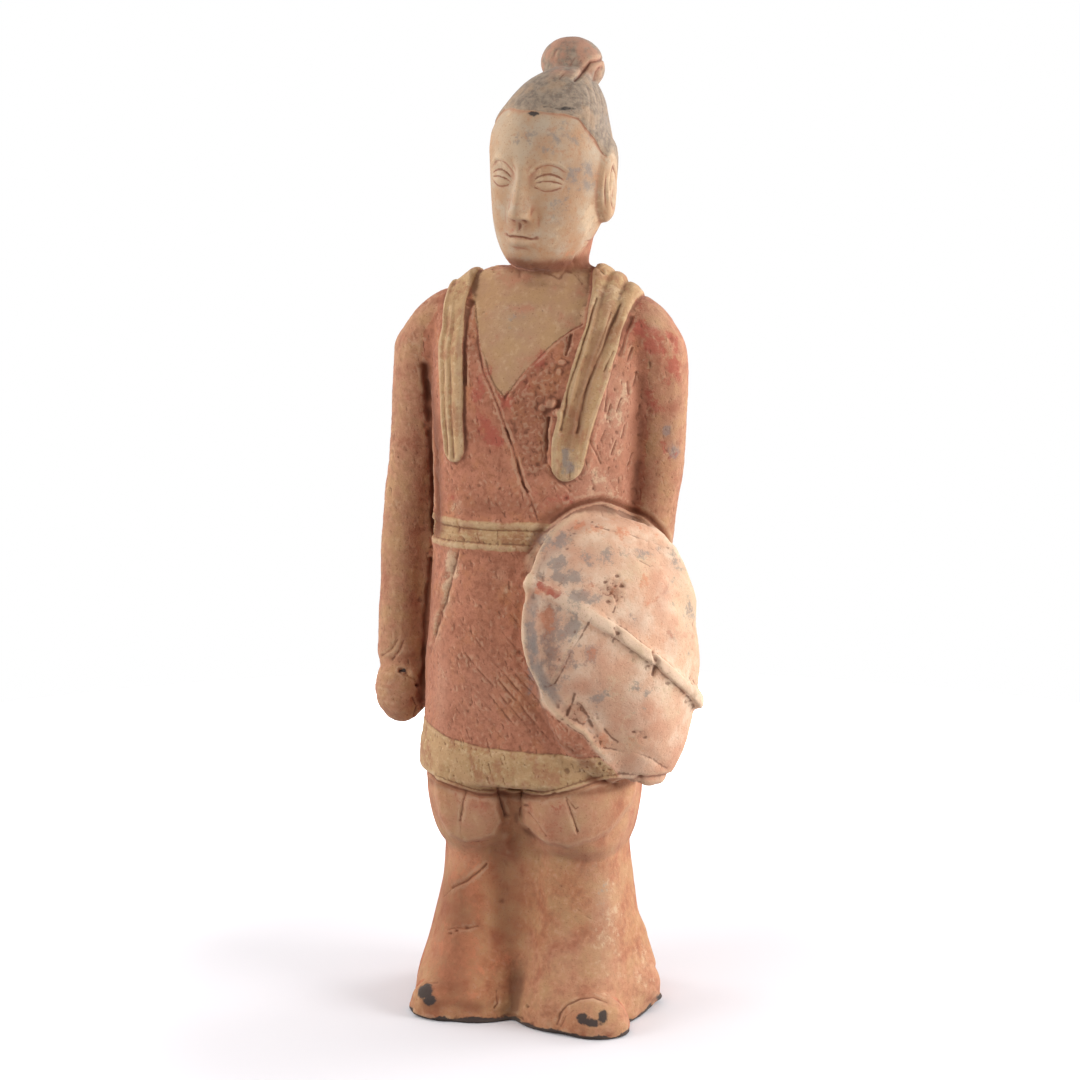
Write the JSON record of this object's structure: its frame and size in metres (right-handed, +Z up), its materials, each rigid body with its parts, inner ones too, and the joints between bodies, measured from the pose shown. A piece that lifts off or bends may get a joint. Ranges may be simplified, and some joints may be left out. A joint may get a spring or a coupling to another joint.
{
  "type": "pottery warrior figurine",
  "caption": "Standing pottery warrior in a belted robe and flared trousers, hair drawn into a knot, one fist closed and a domed shield held at the hip.",
  "frame": {"origin": "on the flat underside, below the middle of the body between the feet", "axes": "+Z up, the figure's front along -Y, its left hand and the shield on the +X side"},
  "size_m": [0.129, 0.0776, 0.3614],
  "materials": {
    "fired_clay": "unglazed reddish earthenware, dull, with worn slip and traces of pigment"
  },
  "bodies": {
    "root": {"warrior_figure": "fired_clay"}
  },
  "joints": []
}
